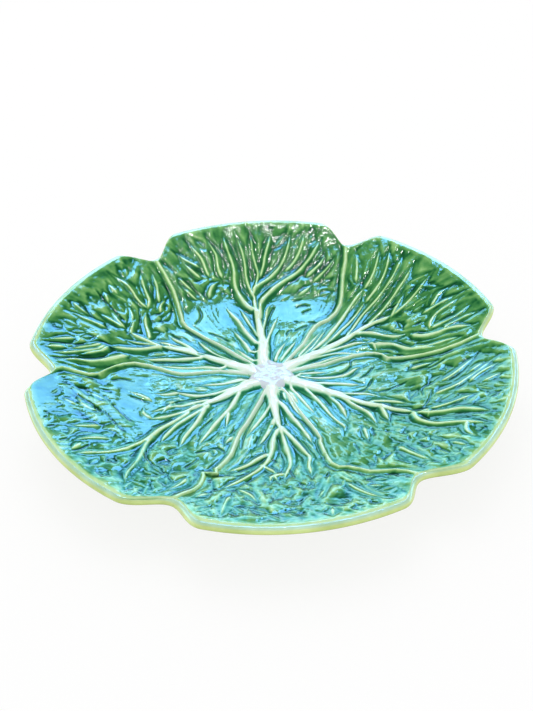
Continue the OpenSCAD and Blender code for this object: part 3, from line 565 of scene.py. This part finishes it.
def pucker(k, points, x, y, angle, radius, clear):
    """Ground of leaf k between its veins, and how much more or less glaze lies on it."""
    broad = value_noise(x / 9.0 + 40, y / 9.0 + 40, 11 + k)
    middle = value_noise(x / 3.8 + 40, y / 3.8 + 40, 21 + k)
    fine = value_noise(x / 1.9 + 90, y / 1.9 + 90, 31 + k)
    sway = 0.9 * value_noise(x / 14 + 40, y / 14 + 40, 51 + k)
    streak = value_noise(angle / 2.6 + 400 + sway, radius / 16.0, 41 + k)
    thread = value_noise(angle / 1.2 + 400 + 2 * sway, radius / 9.0, 71 + k)
    inner, outer = smooth((radius - 16) / 25), smooth((radius - 60) / 50)
    open_ground = smooth(clear / 3.0)
    pillow = PILLOW_H * smooth((clear - 0.6) / 4.0) * (1 + 0.4 * broad)
    rough = LEAVES[k]["crumple"] - CRUMPLE_LESS
    wrinkle = (0.3 + 0.7 * open_ground) * inner
    pillow += wrinkle * rough * (0.15 * middle + 0.07 * fine)
    pillow += inner * outer * (0.24 * streak + 0.11 * thread)
    pillow += wrinkle * 0.10 * thread + 0.02 * fine
    calm = np.max([share * zone(angle, radius, *where) for *where, share in CALM_GROUND], axis=0)
    pillow *= (0.3 + 0.7 * inner) * (1 - calm)
    fold = value_noise(angle / 12 + 100 + 0.08 * radius, radius / 6.5, 91)
    pillow += FOLD_H * zone(angle, radius, *FOLDED_GROUND) * fold
    for text in LEAVES[k]["pads"]:
        pu, pv, ru, rv, turn, h = (float(n) for n in text.split(","))
        c, s = math.cos(math.radians(turn)), math.sin(math.radians(turn))
        du, dv = points[:, 0] - pu, points[:, 1] - pv
        d2 = ((du * c + dv * s) / ru) ** 2 + ((dv * c - du * s) / rv) ** 2
        pad = h * np.exp(-d2 ** 1.5) * (0.4 + 0.6 * open_ground)
        pillow += PAD_SHARE * pad * (1 - calm)
    return pillow, (0.10 * streak + 0.08 * middle + 0.06 * thread) * outer


def carve(k):
    """Places of leaf k's net with all its relief, how thin the glaze lies at each, and a painted lip
    reflection.
    """
    angle, r, rho = leaf_net(k)
    x, y = r * np.cos(np.radians(angle)), r * np.sin(np.radians(angle))
    axis = math.radians(LEAVES[k]["axis"])
    across = x * math.sin(axis) - y * math.cos(axis)
    out = x * math.cos(axis) + y * math.sin(axis)
    points = np.stack([across.ravel(), out.ravel()], 1)
    flat_x, flat_y, turn, radius = x.ravel(), y.ravel(), angle.ravel(), r.ravel()

    raised = np.zeros(len(points))
    ridge = np.zeros(len(points))
    clear = np.full(len(points), VEIN_REACH)
    sides = [(SEAM_TOP_LEAVES[seam % LEAF_COUNT] == k,
              past_seam(seam, side, axis, points, turn, radius))
             for side, seam in ((-1, k), (1, k + 1))]
    roll_edges(sides, radius, raised, ridge, clear)
    raise_veins(k, points, flat_x, flat_y, raised, ridge, clear)
    raised = raised ** (1 / MEET_POWER)
    pillow, pools = pucker(k, points, flat_x, flat_y, turn, radius, clear)
    height = np.log(np.exp(raised * SOFTNESS) + np.exp(pillow * SOFTNESS)) / SOFTNESS - 0.1

    for text in LEAVES[k]["creases"]:
        near, d, along, length = line_distance(points, places(text), CREASE_W * 5)
        fade = smooth((length - along + 0.3) / 2.0) * smooth((along + 0.3) / 2.0)
        cut = np.exp(-(d / CREASE_W) ** 2) * (0.3 + 0.7 * fade)
        height[near] -= CREASE_DEPTH * cut
        ridge[near] *= 1 - 0.9 * cut
    swell = 0.2 * np.exp(-((radius - 10) / 10) ** 2)
    z = GROUND_H + height + swell
    for on_top, past in sides:
        depth, start = DIVE_TOP if on_top else DIVE_UNDER
        z -= depth * smooth((past - start) / (OVERLAP - start)) * (np.abs(past) < SEAM_REACH - 1)

    z, ridge, pools = z.reshape(r.shape), ridge.reshape(r.shape), pools.reshape(r.shape)
    to_lip = (1 - rho) * LEAF_L
    z = LIP_GROUND_H + (z - LIP_GROUND_H) * (0.5 + 0.5 * smooth(to_lip / 10))
    near_lip = smooth(to_lip / LIP_STEP_L)
    z = z * near_lip - LIP_SINK * (1 - near_lip)
    ridge = ridge * smooth(to_lip / 5)
    # The glaze runs off small and broad bulges and veins, and the last mm before the lip are made
    # pale, partly glaze run thin off the edge and partly a painted reflection
    thin_glaze_and_lip_sheen = 0.36 + 0.15 * np.tanh(bulge(z, angle, r, 0.9) / 0.12)
    thin_glaze_and_lip_sheen += 0.30 * np.tanh(bulge(z, angle, r, 3.4) / 0.45)
    thin_glaze_and_lip_sheen += 0.46 * ridge ** 1.8 * (1 - 0.3 * smooth((r - 70) / 50))
    thin_glaze_and_lip_sheen += pools
    # Painted reflection: the leaf turns pale over its last mm before the lip, partly glaze run thin
    # there
    thin_glaze_and_lip_sheen = thin_glaze_and_lip_sheen + (0.95 - thin_glaze_and_lip_sheen) * (1 - smooth((to_lip - 1) / 2.4))
    return x, y, dish_z(r) + z, np.clip(thin_glaze_and_lip_sheen, 0, 1)


def bulge(z, angle, r, reach):
    """How far each point stands above its neighbours about reach mm away."""
    row_step = (RIM_R - LEAF_IN_R) / ROWS
    rows = max(1, round(reach / row_step))
    column_step = np.radians(angle[:, -1] - angle[:, 0]) * r.mean(1) / COLUMNS
    columns = np.maximum(1, np.round(reach / column_step)).astype(int)[:, None]
    i, j = np.indices(z.shape)
    around = z[np.clip(i + rows, 0, ROWS), j] + z[np.clip(i - rows, 0, ROWS), j]
    around = around + z[i, np.clip(j + columns, 0, COLUMNS)]
    around = around + z[i, np.clip(j - columns, 0, COLUMNS)]
    return z - around / 4


def linear(text):
    """sRGB hex colour as linear values."""
    parts = [int(text[i:i + 2], 16) / 255 for i in (1, 3, 5)]
    return tuple(p / 12.92 if p <= 0.04045 else ((p + 0.055) / 1.055) ** 2.4 for p in parts) + (1,)


def add(tree, kind, inputs=None, stops=None, **settings):
    """Adds a node with its settings, the links or values of its inputs, and colour stops."""
    node = tree.nodes.new("ShaderNode" + kind)
    for key, value in settings.items():
        setattr(node, key, value)
    for socket, value in (inputs or {}).items():
        if isinstance(value, bpy.types.NodeSocket):
            tree.links.new(value, node.inputs[socket])
        else:
            node.inputs[socket].default_value = value
    if stops:
        elements = node.color_ramp.elements
        while len(elements) < len(stops):
            elements.new(0.5)
        for element, (position, colour) in zip(elements, stops):
            element.position = position
            element.color = linear(colour)
    return node


def new_material(name):
    """A material with no nodes yet, and its tree."""
    material = bpy.data.materials.new(name)
    material.use_nodes = True
    material.node_tree.nodes.clear()
    return material, material.node_tree


# The lumps of a noise are about as large as the mm in its Scale
GLAZE_IOR = 1.5         # lead glaze is a glass
GLAZE_ROUGHNESS = 0.05  # fired clear, so windows show in it with nearly sharp edges


def glazed(tree, colour, place):
    """Clear glossy glaze over a colour. It is a little wavy, which frays the reflections."""
    wave = add(tree, "TexNoise", {"Vector": place, "Scale": 1 / (2.4 * MM), "Detail": 2,
                                  "Roughness": 0.55}).outputs["Fac"]
    bump = add(tree, "Bump", {"Strength": 0.25, "Distance": 0.4 * MM, "Height": wave})
    shader = add(tree, "BsdfPrincipled", {
        "Base Color": colour, "Roughness": GLAZE_ROUGHNESS, "IOR": GLAZE_IOR,
        "Normal": bump.outputs[0]})
    add(tree, "OutputMaterial", {"Surface": shader.outputs[0]})


def leaf_glaze():
    """Green majolica glaze, poured over the leaves and run off their veins in the kiln.

    The eye gets pale veins and edges where it is thin, deep green where it pools in hollows,
    clouds and specks of both, a pale line along the lip that is partly painted reflection, and a
    paler, bluer green near the heart.
    """
    material, tree = new_material("green_leaf_glaze")
    place = add(tree, "TexCoord").outputs["Object"]
    # How thin the glaze lies, and along the lip a painted reflection as well
    level = add(tree, "Attribute", attribute_name="thin_glaze_and_lip_sheen").outputs["Fac"]
    for size, share in ((9, 0.30), (2.2, 0.16)):
        cloud = add(tree, "TexNoise", {"Vector": place, "Scale": 1 / (size * MM), "Detail": 3,
                                       "Roughness": 0.55}).outputs["Fac"]
        off = add(tree, "Math", {0: cloud, 1: 0.5}, operation="SUBTRACT").outputs[0]
        part = add(tree, "Math", {0: off, 1: share}, operation="MULTIPLY").outputs[0]
        level = add(tree, "Math", {0: level, 1: part}, operation="ADD").outputs[0]
    outer = add(tree, "ValToRGB", {"Fac": level}, [
        (0.0, "#0c3d22"), (0.2, "#236b3a"), (0.4, "#4d9350"), (0.6, "#78b46a"), (0.8, "#aede96"),
        (1.0, "#d8f6c4")]).outputs["Color"]
    inner = add(tree, "ValToRGB", {"Fac": level}, [
        (0.0, "#186a48"), (0.25, "#3f9a6c"), (0.45, "#86cfa4"), (0.65, "#d0f6dc"),
        (1.0, "#effef4")]).outputs["Color"]
    plan = add(tree, "VectorMath", {0: place, 1: (1.0, 1.0, 0.0)}, operation="MULTIPLY")
    radius = add(tree, "VectorMath", {0: plan.outputs[0]}, operation="LENGTH")
    near = add(tree, "MapRange", {
        "Value": radius.outputs["Value"], "From Min": 85 * MM, "From Max": 18 * MM}).outputs[0]
    colour = add(tree, "Mix", {0: near, 6: outer, 7: inner}, data_type="RGBA").outputs[2]
    glazed(tree, colour, place)
    return material


def rim_glaze():
    """Yellow-green glaze on the body.

    The colour goes by which way each face turns. The eye gets a pale yellow-green band round the
    rim, where the glaze runs off the edge, a mint line on top of the lip beside the leaves that is
    a painted reflection, and a duller, cloudy yellow-green below that is darker on the faces turned
    down, partly thicker glaze and partly painted shade.
    """
    material, tree = new_material("yellow_green_rim_glaze")
    coordinates = add(tree, "TexCoord").outputs
    place = coordinates["Object"]
    # Painted shade and reflection by facing: olive on faces turned down, partly thicker glaze and
    # partly painted shade; mint on top of the lip, a painted reflection
    upward = add(tree, "SeparateXYZ", {0: coordinates["Normal"]}).outputs["Z"]
    turn = add(tree, "MapRange", {
        "Value": upward, "From Min": -1.0, "From Max": 1.0}).outputs[0]
    band = add(tree, "ValToRGB", {"Fac": turn}, [
        (0.0, "#b4c268"), (0.22, "#a0ae54"), (0.38, "#c4d47c"), (0.55, "#d6ee90"),
        (0.78, "#e2f4ac"), (0.9, "#cff0d0"), (1.0, "#bfe6d4")]).outputs["Color"]
    cloud = add(tree, "TexNoise", {"Vector": place, "Scale": 1 / (14 * MM), "Detail": 4,
                                   "Roughness": 0.55}).outputs["Fac"]
    pooled = add(tree, "ValToRGB", {"Fac": cloud}, [
        (0.35, "#d6dcc0"), (0.65, "#ffffff")]).outputs["Color"]
    colour = add(tree, "Mix", {0: 0.7, 6: band, 7: pooled}, data_type="RGBA",
                 blend_type="MULTIPLY").outputs[2]
    glazed(tree, colour, place)
    return material


def heart_glaze():
    """Tin-white glaze, thin over the high boss: nearly white with a breath of lavender."""
    material, tree = new_material("pale_heart_glaze")
    place = add(tree, "TexCoord").outputs["Object"]
    cloud = add(tree, "TexNoise", {"Vector": place, "Scale": 1 / (5 * MM), "Detail": 3,
                                   "Roughness": 0.55}).outputs["Fac"]
    colour = add(tree, "ValToRGB", {"Fac": cloud}, [
        (0.3, "#d8e6ea"), (0.5, "#d9e4ef"), (0.75, "#dbe1f1")]).outputs["Color"]
    glazed(tree, colour, place)
    return material


def foot_clay():
    """Buff earthenware of the foot ring, wiped bare where it stands and glazed above that.

    The eye gets a dull, speckled sandy edge on the table under glossy yellow-green.
    """
    material, tree = new_material("buff_earthenware_foot")
    place = add(tree, "TexCoord").outputs["Object"]
    height = add(tree, "SeparateXYZ", {0: place}).outputs["Z"]
    up = add(tree, "MapRange", {
        "Value": height, "From Min": 0.5 * MM, "From Max": 0.9 * MM}).outputs[0]
    speck = add(tree, "TexNoise", {"Vector": place, "Scale": 1 / (1.2 * MM), "Detail": 4,
                                   "Roughness": 0.55}).outputs["Fac"]
    clay = add(tree, "ValToRGB", {"Fac": speck}, [
        (0.3, "#cdbfa2"), (0.6, "#e2d8bf"), (0.8, "#eae2cd")]).outputs["Color"]
    cloud = add(tree, "TexNoise", {"Vector": place, "Scale": 1 / (14 * MM), "Detail": 4,
                                   "Roughness": 0.55}).outputs["Fac"]
    glaze = add(tree, "ValToRGB", {"Fac": cloud}, [
        (0.25, "#b9c96c"), (0.5, "#d3df8c"), (0.75, "#e0e8a8")]).outputs["Color"]
    colour = add(tree, "Mix", {0: up, 6: clay, 7: glaze}, data_type="RGBA").outputs[2]
    gloss = add(tree, "MapRange", {"Value": up, "To Min": 0.85, "To Max": 0.12})
    bump = add(tree, "Bump", {"Strength": 0.3, "Distance": 0.3 * MM, "Height": speck})
    shader = add(tree, "BsdfPrincipled", {
        "Base Color": colour, "Roughness": gloss.outputs[0], "IOR": GLAZE_IOR,
        "Normal": bump.outputs[0]})
    add(tree, "OutputMaterial", {"Surface": shader.outputs[0]})
    return material


def shade(piece, degrees=50):
    """Smooth shading, apart from sharp edges."""
    bpy.ops.object.select_all(action="DESELECT")
    piece.select_set(True)
    bpy.context.view_layer.objects.active = piece
    bpy.ops.object.shade_smooth_by_angle(angle=math.radians(degrees))
    bpy.ops.object.select_all(action="DESELECT")


def outwards(mesh):
    """Turns the faces of a closed mesh outwards."""
    work = bmesh.new()
    work.from_mesh(mesh)
    bmesh.ops.recalc_face_normals(work, faces=work.faces)
    work.to_mesh(mesh)
    work.free()


def make_leaf(k, material):
    """Closed leaf: the carved net above, a coarse net in the body below and walls between."""
    x, y, z, thin_glaze_and_lip_sheen = carve(k)
    top = np.stack([x, y, z], -1).reshape(-1, 3)
    cx, cy = x[::COARSE, ::COARSE], y[::COARSE, ::COARSE]
    under = np.stack([cx, cy, dish_z(np.hypot(cx, cy)) - UNDER_DEPTH], -1).reshape(-1, 3)
    high = np.arange(len(top)).reshape(x.shape)
    low = len(top) + np.arange(len(under)).reshape(cx.shape)
    quads = np.stack([high[:-1, :-1], high[:-1, 1:], high[1:, 1:], high[1:, :-1]], -1)
    base = np.stack([low[:-1, :-1], low[1:, :-1], low[1:, 1:], low[:-1, 1:]], -1)
    faces = quads.reshape(-1, 4).tolist() + base.reshape(-1, 4).tolist()
    for fine, coarse, flip in ((high[0], low[0], 0), (high[-1], low[-1], 1),
                               (high[:, 0], low[:, 0], 1), (high[:, -1], low[:, -1], 0)):
        wall = []
        for c in range(len(coarse) - 1):
            first, half = c * COARSE, COARSE // 2
            wall += [(fine[first + j], fine[first + j + 1], coarse[c]) for j in range(half)]
            wall.append((fine[first + half], coarse[c + 1], coarse[c]))
            wall += [(fine[first + j], fine[first + j + 1], coarse[c + 1])
                     for j in range(half, COARSE)]
        faces += [tuple(int(n) for n in (f[::-1] if flip else f)) for f in wall]
    name = LEAVES[k]["name"] + "_carved"
    mesh = bpy.data.meshes.new(name)
    mesh.from_pydata((np.concatenate([top, under]) * MM).tolist(), [], faces)
    outwards(mesh)
    data = np.zeros(len(mesh.vertices), dtype=np.float32)
    # How thin the glaze lies, with the painted reflection along the lip, for the leaf glaze
    data[:len(top)] = thin_glaze_and_lip_sheen.ravel()
    mesh.attributes.new("thin_glaze_and_lip_sheen", "FLOAT", "POINT").data.foreach_set("value", data)
    piece = bpy.data.objects.new(name, mesh)
    bpy.context.scene.collection.objects.link(piece)
    mesh.materials.append(material)
    shade(piece, 80)
    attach(piece, "root")
    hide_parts(LEAVES[k]["name"])


def ring_piece(name, rings, steps):
    """A disc of rings, extruded one after another from a circle and closed at both poles.

    Each ring is a function of the angle in degrees that gives its place in mm.
    """
    bpy.ops.object.select_all(action="DESELECT")
    bpy.ops.mesh.primitive_circle_add(vertices=steps, radius=1.0, fill_type="NOTHING")
    piece = bpy.context.object
    piece.name = piece.data.name = name
    bpy.ops.object.mode_set(mode="EDIT")
    bpy.ops.mesh.select_all(action="SELECT")
    for _ in rings[1:]:
        bpy.ops.mesh.extrude_edges_move(TRANSFORM_OT_translate={"value": (0, 0, 1)})
    bpy.ops.object.mode_set(mode="OBJECT")
    # The stack of circles is one metre apart, so each point tells its ring and its step
    mesh = piece.data
    old = np.zeros(len(mesh.vertices) * 3)
    mesh.vertices.foreach_get("co", old)
    old = old.reshape(-1, 3)
    turn = np.round(np.degrees(np.arctan2(old[:, 1], old[:, 0])) * steps / 360).astype(int) % steps
    level = np.round(old[:, 2]).astype(int)
    angles = np.arange(steps) * 360.0 / steps
    new = np.stack([np.stack(ring(angles), 1) * MM for ring in rings])[level, turn]
    mesh.vertices.foreach_set("co", new.ravel())
    work = bmesh.new()
    work.from_mesh(mesh)
    for edge_ring in (0, len(rings) - 1):
        work.verts.ensure_lookup_table()
        loop = [work.verts[i] for i in np.nonzero(level == edge_ring)[0]]
        loop.sort(key=lambda vert: math.atan2(vert.co.y, vert.co.x))
        pole = work.verts.new(sum((vert.co for vert in loop), Vector()) / len(loop))
        for a, b in zip(loop, loop[1:] + loop[:1]):
            work.faces.new((a, b, pole))
    bmesh.ops.recalc_face_normals(work, faces=work.faces)
    work.to_mesh(mesh)
    work.free()
    return piece


RIM_STEPS = 720
TOP_DROP = 1.2          # the body's face lies this much deeper under the leaves
SLOPE_INSET = 9.0       # where the rings stop following the notches at their full distance


def body_rings():
    """Rings of the pressed body from the middle of its upper face round the lip to below."""
    def polar(a, r, z):
        return r * np.cos(np.radians(a)), r * np.sin(np.radians(a)), z

    def upper(inset, drop):
        return lambda a: polar(a, inset_r(a, inset), dish_z(inset_r(a, inset)) - drop)

    def inner(share, drop):
        return lambda a: polar(a, inset_r(a, SLOPE_INSET) * share,
                               dish_z(inset_r(a, SLOPE_INSET) * share) - drop)

    def lip(turn):
        def place(a):
            middle = dish_z(inset_r(a, LIP_L)) - LIP_WALL / 2
            t = math.radians(turn)
            return polar(a, inset_r(a, LIP_L * (1 - math.cos(t))),
                         middle + LIP_WALL / 2 * math.sin(t))
        return place

    shares = [0.04, 0.2, 0.38] + [0.42 + 0.58 * i / 14 for i in range(15)]
    rings = [inner(share, TOP_DROP) for share in shares]
    rings += [upper(7.0, TOP_DROP), upper(5.6, TOP_DROP * 0.7), upper(4.4, 0.2),
              upper(3.4, 0.0), upper(2.8, -0.04)]
    rings += [lip(90 - 15 * i) for i in range(13)]
    rings += [upper(3.4, LIP_WALL), upper(5.6, (LIP_WALL + WALL) / 2), upper(7.0, WALL)]
    rings += [inner(share, WALL) for share in shares[::-1]]
    return rings


HEART_X, HEART_Y = 0.6, 2.4     # the heart lies a little behind the middle of the dish
TRUNK_ROOTS = [42, 102, 147, 205, 271, 344]     # directions of the midribs at the heart
# The heart's section: distance from its middle before its lobes, and height above the floor
HEART_CROWN = [(0.5, 3.4), (2, 3.4), (4, 3.4), (6, 3.4), (8, 3.36), (9.5, 3.3), (11, 3.16),
               (12.4, 2.9), (13.8, 2.5), (15, 2.0), (16, 1.3), (16.8, 0.5), (17.4, -0.9),
               (9, -0.9), (0.5, -0.9)]


def heart_rings():
    """Rings of the heart, a low boss with six soft lobes that grow into the midribs."""
    def ring(r, z):
        def place(a):
            lobes = sum(np.exp(-(((a - root + 180) % 360 - 180) / 15) ** 2)
                        for root in TRUNK_ROOTS)
            bumps = 0.05 * np.sin(np.radians(a * 5 + r * 40)) * min(r / 6, 1)
            reach = r * (0.72 + 0.2 * lobes * min(r / 9, 1))
            x, y = reach * np.cos(np.radians(a)), reach * np.sin(np.radians(a))
            return x + HEART_X, y + HEART_Y, FLOOR_Z + z + bumps * (z > 1)
        return place

    return [ring(r, z) for r, z in HEART_CROWN]


# The pieces
for name, rings, steps, finish, node, slot in (
        ("plate_body_pressed", body_rings(), RIM_STEPS, rim_glaze(), "plate_body", "body_glaze"),
        ("heart_boss", heart_rings(), 180, heart_glaze(), "heart", "heart_glaze")):
    piece = ring_piece(name, rings, steps)
    piece.data.materials.append(finish)
    shade(piece)
    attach(piece, "root")
    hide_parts(node)

leaf_finish = leaf_glaze()
for number in range(LEAF_COUNT):
    make_leaf(number, leaf_finish)

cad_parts["foot_ring"].material_slots[0].material = foot_clay()


# Camera: fitted to the outline of the plate in the photograph, 38.5 degrees above the table
ELEVATION, ROLL = math.radians(38.514), math.radians(-1.161)
CAMERA_PLACE = (-2.167, -431.8, 370.61)


def stand(item, right, up, back, place):
    """Puts a camera or a lamp in its place in metres, looking against back."""
    item.matrix_world = Matrix(
        [[right[i], up[i], back[i], place[i]] for i in range(3)] + [[0, 0, 0, 1]])
    bpy.context.scene.collection.objects.link(item)


camera_data = bpy.data.cameras.new("camera")
camera_data.sensor_fit = "AUTO"
camera_data.sensor_width = 36.0
camera_data.lens = 50.875
camera_data.clip_start, camera_data.clip_end = 0.01, 50.0
camera = bpy.data.objects.new("camera", camera_data)
level_right = np.array([1.0, 0, 0])
level_up = np.array([0, math.sin(ELEVATION), math.cos(ELEVATION)])
stand(camera, math.cos(ROLL) * level_right + math.sin(ROLL) * level_up,
      -math.sin(ROLL) * level_right + math.cos(ROLL) * level_up,
      np.array([0, -math.cos(ELEVATION), math.sin(ELEVATION)]), np.array(CAMERA_PLACE) * MM)
bpy.context.scene.camera = camera


def area_light(name, azimuth, elevation, distance, size, power, colour):
    """Panel that faces the plate from a direction given in degrees, with its size in metres."""
    data = bpy.data.lights.new(name, "AREA")
    data.shape = "RECTANGLE"
    data.size, data.size_y = size
    data.energy = power
    data.color = linear(colour)[:3]
    lamp = bpy.data.objects.new(name, data)
    a, e = math.radians(azimuth), math.radians(elevation)
    away = np.array([math.cos(e) * math.cos(a), math.cos(e) * math.sin(a), math.sin(e)])
    side = np.array([-math.sin(a), math.cos(a), 0.0])
    stand(lamp, side, np.cross(away, side), away, away * distance)
    lamp.visible_camera = False
    return lamp


# The soft key lights the clay and isn't seen in the glaze. The windows and the small lamps are
# seen in the glaze alone, where the photograph has their reflections
area_light("soft_key", 100, 70, 1.8, (1.4, 1.4), 8, "#ffffff").visible_glossy = False
for name, azimuth, elevation, distance, size, power, colour in (
        ("upper_window", 90, 55, 3.0, (0.98, 0.95), 62, "#6cb8ff"),
        ("left_window", 77.4, 29.5, 3.0, (0.6, 1.33), 34, "#6cb8ff"),
        ("right_window", 102, 26, 3.0, (0.6, 1.0), 14, "#84d4f8"),
        ("middle_window", 90, 38.5, 3.0, (0.9, 0.2), 10, "#6cb8ff"),
        ("small_lamp_0", 80, 72, 1.5, (0.025, 0.025), 0.4, "#ffffff"),
        ("small_lamp_1", 89, 70, 1.5, (0.025, 0.025), 0.4, "#ffffff"),
        ("small_lamp_2", 104, 69, 1.5, (0.025, 0.025), 0.4, "#ffffff")):
    area_light(name, azimuth, elevation, distance, size, power, colour).visible_diffuse = False

# Table: plain white cloth. Camera, glossy and transmission rays see it mostly as the white of
# the backdrop, and the rest of it keeps the plate's shadow
TABLE_WHITE_SHARE = 0.85
bpy.ops.object.select_all(action="DESELECT")
bpy.ops.mesh.primitive_plane_add(size=3.0, location=(0, 0, 0))
table = bpy.context.object
table.name = "table"
material, tree = new_material("white_table")
cloth = add(tree, "BsdfDiffuse", {"Color": linear("#fbfbfb")}).outputs[0]
white = add(tree, "Emission", {"Color": linear("#ffffff"), "Strength": 1.0}).outputs[0]
ray = add(tree, "LightPath").outputs
shown = ray["Is Camera Ray"]
for kind in ("Is Glossy Ray", "Is Transmission Ray"):
    shown = add(tree, "Math", {0: shown, 1: ray[kind]}, operation="ADD",
                use_clamp=True).outputs[0]
part = add(tree, "Math", {0: shown, 1: TABLE_WHITE_SHARE}, operation="MULTIPLY")
both = add(tree, "MixShader", {0: part.outputs[0], 1: cloth, 2: white}).outputs[0]
add(tree, "OutputMaterial", {"Surface": both})
table.data.materials.append(material)

# World: even white light, and a white backdrop for the camera. Gloss sees another room: a pale
# horizon under a dark ceiling before the plate, and a bright cyan haze low behind it
WORLD_LIGHT = 0.83
HAZE_STRENGTH = 6.8
world = bpy.data.worlds.new("studio")
bpy.context.scene.world = world
world.use_nodes = True
tree = world.node_tree
tree.nodes.clear()
direction = add(tree, "TexCoord").outputs["Generated"]
axes = add(tree, "SeparateXYZ", {0: direction}).outputs
low = add(tree, "MapRange", {"Value": axes["Z"], "From Min": 0.42, "From Max": 0.08})
ceiling = add(tree, "Mix", {
    0: low.outputs[0], 6: linear("#141c1a"), 7: linear("#b9c4c4")}, data_type="RGBA").outputs[2]
haze = add(tree, "ValToRGB", {"Fac": axes["Z"]}, [
    (0.0, "#b4ecfc"), (0.12, "#78d6f4"), (0.22, "#3c8ca8"), (0.3, "#12303a"),
    (0.42, "#060a09")]).outputs["Color"]
before, beyond, light, plain = (
    add(tree, "Background", {"Color": colour, "Strength": strength}).outputs[0]
    for colour, strength in ((ceiling, 1.0), (haze, HAZE_STRENGTH),
                             (linear("#ffffff"), WORLD_LIGHT), (linear("#ffffff"), 1.0)))
behind = add(tree, "MapRange", {"Value": axes["Y"], "From Min": 0.0, "From Max": 0.5})
seen = add(tree, "MixShader", {0: behind.outputs[0], 1: before, 2: beyond}).outputs[0]
ray = add(tree, "LightPath").outputs
lit = add(tree, "MixShader", {0: ray["Is Camera Ray"], 1: light, 2: plain}).outputs[0]
shown = add(tree, "Math", {0: ray["Is Glossy Ray"], 1: ray["Is Transmission Ray"]},
            operation="ADD", use_clamp=True).outputs[0]
both = add(tree, "MixShader", {0: shown, 1: lit, 2: seen}).outputs[0]
add(tree, "OutputWorld", {"Surface": both})

bpy.context.scene.view_settings.view_transform = "Standard"
